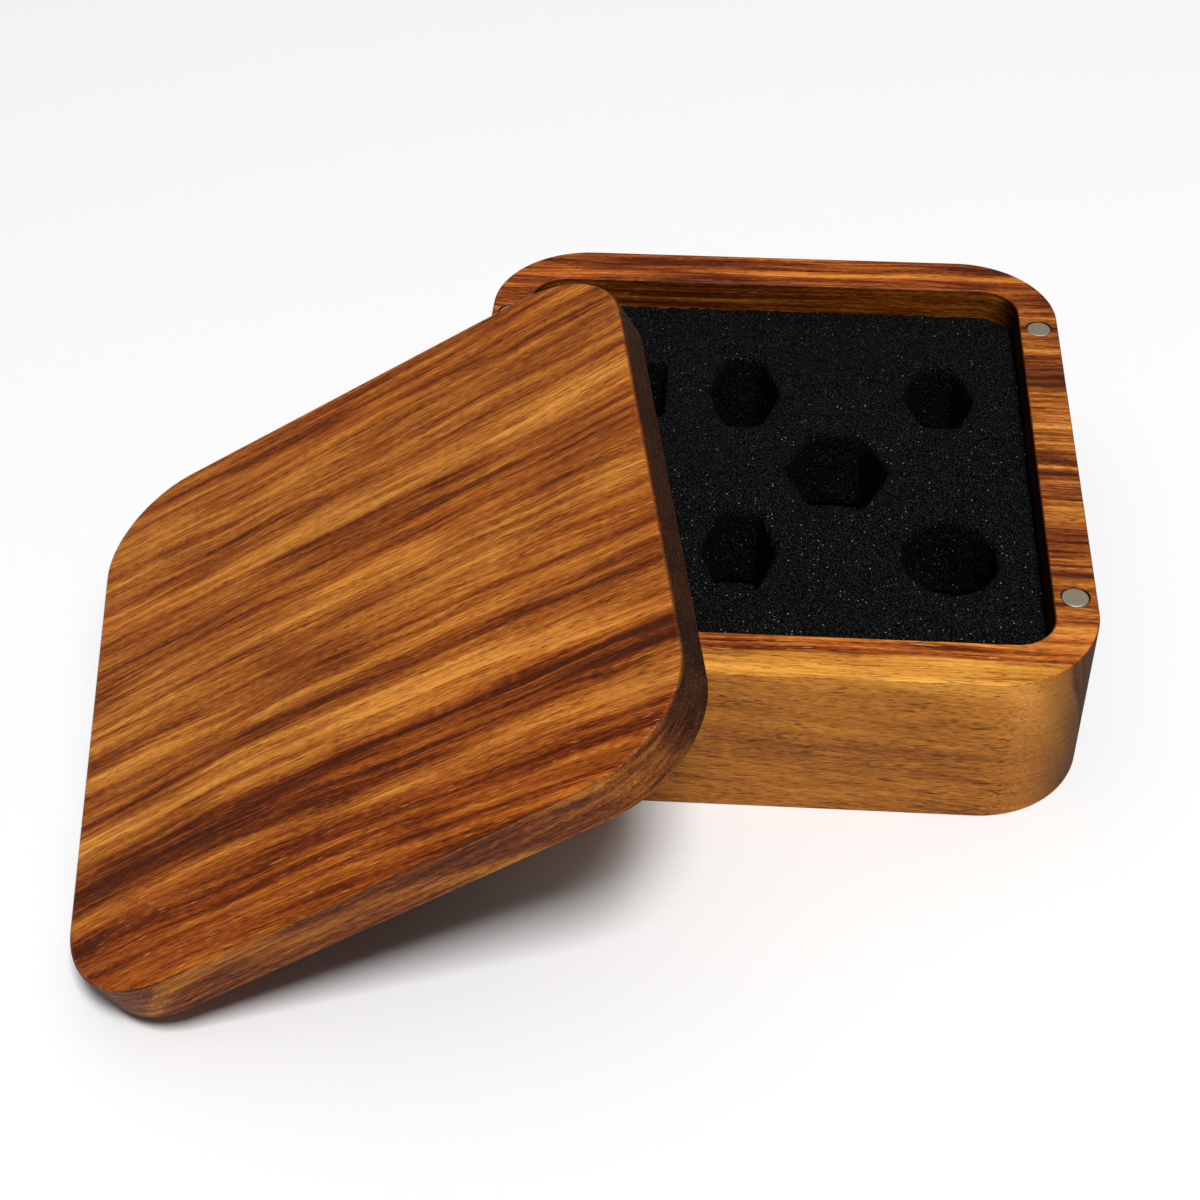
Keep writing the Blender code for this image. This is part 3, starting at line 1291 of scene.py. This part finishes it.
def lid_frame(sizes: CaseSizes) -> Matrix:
    """Find the lid's own frame from its four magnets.

    Args:
        sizes: The shared sizes.

    Returns:
        The frame: its origin is the middle of the underside, and its Z points out of the top.
    """
    left_front, left_back, right_front, right_back = (middle(node) for node in magnet_nodes(Body.LID))
    x = (right_front + right_back - left_front - left_back).normalized()
    y = (left_back + right_back - left_front - right_front).normalized()
    z = x.cross(y)
    centre = (left_front + left_back + right_front + right_back) / 4
    origin = centre - z * (sizes.magnet_set_back + sizes.magnet_length / 2)
    turn = Matrix((x, y, z)).transposed()
    return Matrix.Translation(origin) @ turn.to_4x4()


@dataclass
class Half:
    """One half of the case: a wood block, its foam and its magnets."""

    sizes: CaseSizes

    def build(self, foam: bpy.types.Material, nickel: bpy.types.Material) -> list[bpy.types.Object]:
        """Build every piece of this half.

        Args:
            foam: The foam's finish.
            nickel: The magnets' finish.

        Returns:
            The pieces.
        """
        block = self.block()
        pieces = [block.build(self.wood(block.place).make())]
        pieces += [piece.build(foam) for piece in self.foam_pieces()]
        return pieces + Magnets(self.sizes, block.body, block.place).build(nickel)

    def block(self) -> WoodBlock:
        """Size the wood block."""
        raise NotImplementedError

    def wood(self, place: Matrix) -> StripedWood:
        """Choose the block's finish."""
        raise NotImplementedError

    def foam_pieces(self) -> list[FoamPiece]:
        """List the foam pieces."""
        raise NotImplementedError


@dataclass
class Base(Half):
    """The milled base with its foam insert, the pad under that and its magnets."""

    floor_thickness: float = 5.0 * MM
    floor_fillet: float = 1.2 * MM

    def block(self) -> WoodBlock:
        """Size the wood block.

        Returns:
            The block, open above, with its underside on the floor.
        """
        return WoodBlock(
            self.sizes,
            Body.BASE,
            Matrix.Identity(4),
            thickness=self.sizes.height,
            top_round=self.sizes.easing,
            top_segments=self.sizes.easing_segments,
            hollow_depth=self.sizes.height - self.floor_thickness,
            floor_fillet=self.floor_fillet,
            opening=Opening.UP,
        )

    def wood(self, place: Matrix) -> StripedWood:
        """Choose the block's finish.

        Args:
            place: The block's own frame.

        Returns:
            The finish, with nearly straight stripes and a sap edge at the front.
        """
        return StripedWood(
            "base_wood_finish",
            place,
            Rings(self.sizes.height / MM, bow_mm=1.0, ripple_mm=0.6),
            BASE_STRIPES,
            sap_edge_mm=-58.3,
            streaks=1.35,
            slope=0.17,
            front_layers=0.54,
            back_layers=1.8,
            back_red=1.0,
        )

    def foam_pieces(self) -> list[FoamPiece]:
        """List the foam pieces."""
        insert = FoamPiece("foam_insert", "foam_block", Body.BASE, voxel=0.60 * MM)
        return [insert, FoamPiece("foam_floor_pad", "foam_sheet", Body.BASE, voxel=0.80 * MM)]


@dataclass
class Lid(Half):
    """The lid with its liner and its magnets, built where it leans on the base."""

    thickness: float = 9.0 * MM
    top_round: float = 0.8 * MM
    top_segments: int = 5
    recess_depth: float = 3.6 * MM
    recess_fillet: float = 0.5 * MM

    def block(self) -> WoodBlock:
        """Size the wood block.

        Returns:
            The block, open below.
        """
        return WoodBlock(
            self.sizes,
            Body.LID,
            lid_frame(self.sizes),
            thickness=self.thickness,
            top_round=self.top_round,
            top_segments=self.top_segments,
            hollow_depth=self.recess_depth,
            floor_fillet=self.recess_fillet,
            opening=Opening.DOWN,
        )

    def wood(self, place: Matrix) -> StripedWood:
        """Choose the block's finish.

        Args:
            place: The block's own frame.

        Returns:
            The finish, with stripes that bow at the front, and no sapwood.
        """
        return StripedWood(
            "lid_wood_finish",
            place,
            Rings(self.thickness / MM, bow_mm=6.0, ripple_mm=1.3),
            LID_STRIPES,
            sap_edge_mm=-90.0,
            streaks=0.96,
            slope=-0.02,
            front_layers=1.50,
            back_layers=1.5,
            back_red=0.2,
        )

    def foam_pieces(self) -> list[FoamPiece]:
        """List the foam pieces."""
        return [FoamPiece("lid_foam_liner", "foam_liner", Body.LID, voxel=0.80 * MM)]


def main() -> None:
    """Build the studio and every piece of the case."""
    logging.basicConfig(level=logging.INFO, format="%(message)s")
    sizes = CaseSizes.from_frame()
    Studio().build()
    foam = OpenCellFoam("foam_finish").make()
    nickel = NickelPlate("nickel_finish").make()
    for part in (Base(sizes), Lid(sizes)):
        for piece in part.build(foam, nickel):
            log.info("%s: %d faces", piece.name, len(piece.data.polygons))


if __name__ == "__main__":
    main()
